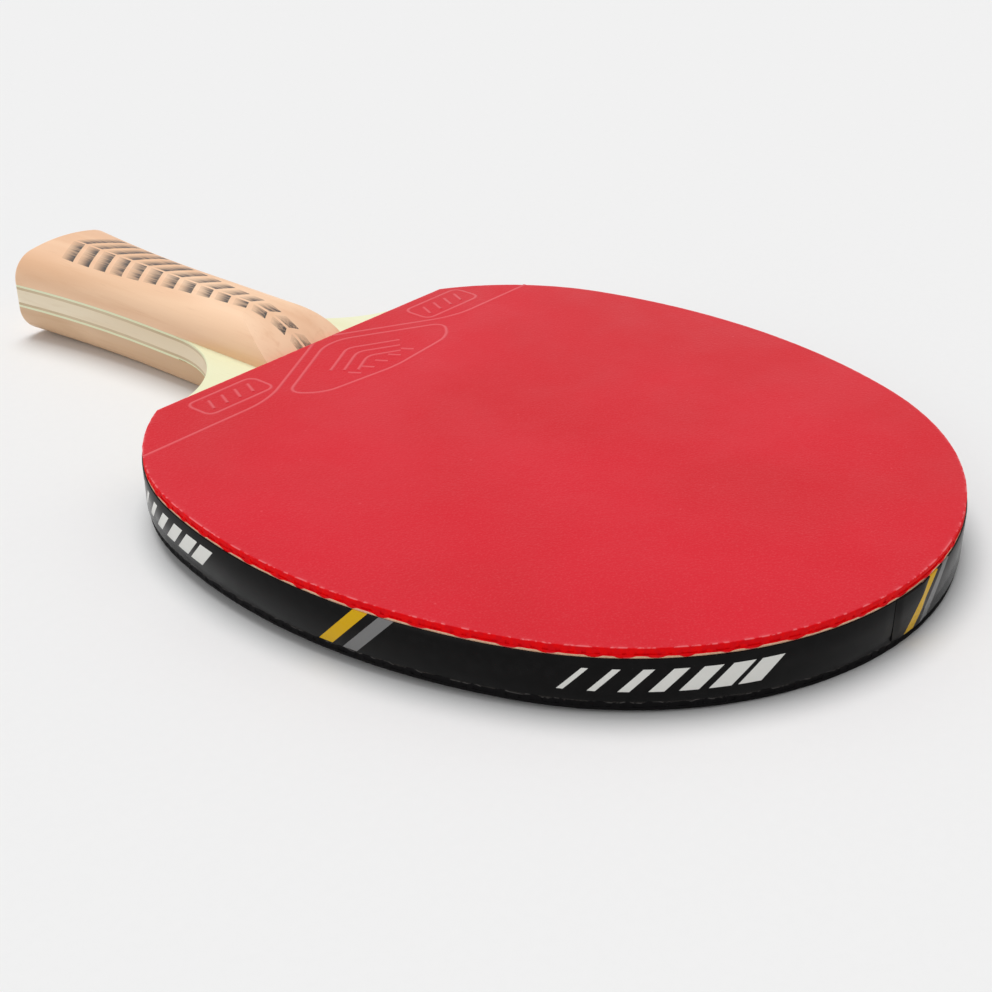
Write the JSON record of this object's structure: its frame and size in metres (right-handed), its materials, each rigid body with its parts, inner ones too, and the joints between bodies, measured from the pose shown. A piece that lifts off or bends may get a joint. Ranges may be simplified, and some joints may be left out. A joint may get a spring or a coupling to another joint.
{
  "type": "table tennis paddle",
  "caption": "Table tennis paddle with a laminated wooden blade, flared handle, red and black pimples-in rubbers and an edge tape.",
  "frame": {"origin": "centre of the paddle's bounding box, on the mid-plane of the blade", "axes": "+Y along the handle, from the head towards the butt; +Z out of the red rubber; +X to the right across the head, completing a right-handed frame"},
  "size_m": [0.1506, 0.2552, 0.0242],
  "materials": {
    "core_ply": "pale low-sheen plywood core",
    "cross_ply_red_side": "raw veneer, cross grain",
    "cross_ply_black_side": "raw veneer, cross grain",
    "face_ply_red_side": "sealed pale yellow veneer, satin",
    "face_ply_black_side": "sealed pale yellow veneer, satin",
    "handle_scale_red_side": "sanded peach-coloured wood, low sheen, dark printed herringbone",
    "handle_scale_black_side": "sanded tan wood, low sheen",
    "sponge_red_side": "cream cellular sponge, matt",
    "sponge_black_side": "dark cellular sponge, matt",
    "topsheet_red": "satin red rubber, glossy cut edge",
    "topsheet_black": "satin black rubber",
    "edge_tape_first": "satin black tape with printed yellow and grey stripes",
    "edge_tape_second": "satin black tape with printed yellow and grey stripes"
  },
  "bodies": {
    "root": {"core_ply": "core_ply", "cross_ply_red_side": "cross_ply_red_side", "cross_ply_black_side": "cross_ply_black_side", "face_ply_red_side": "face_ply_red_side", "face_ply_black_side": "face_ply_black_side", "handle_scale_red_side": "handle_scale_red_side", "handle_scale_black_side": "handle_scale_black_side", "sponge_red_side": "sponge_red_side", "sponge_black_side": "sponge_black_side", "topsheet_red": "topsheet_red", "topsheet_black": "topsheet_black", "edge_tape_first": "edge_tape_first", "edge_tape_second": "edge_tape_second"}
  },
  "joints": []
}
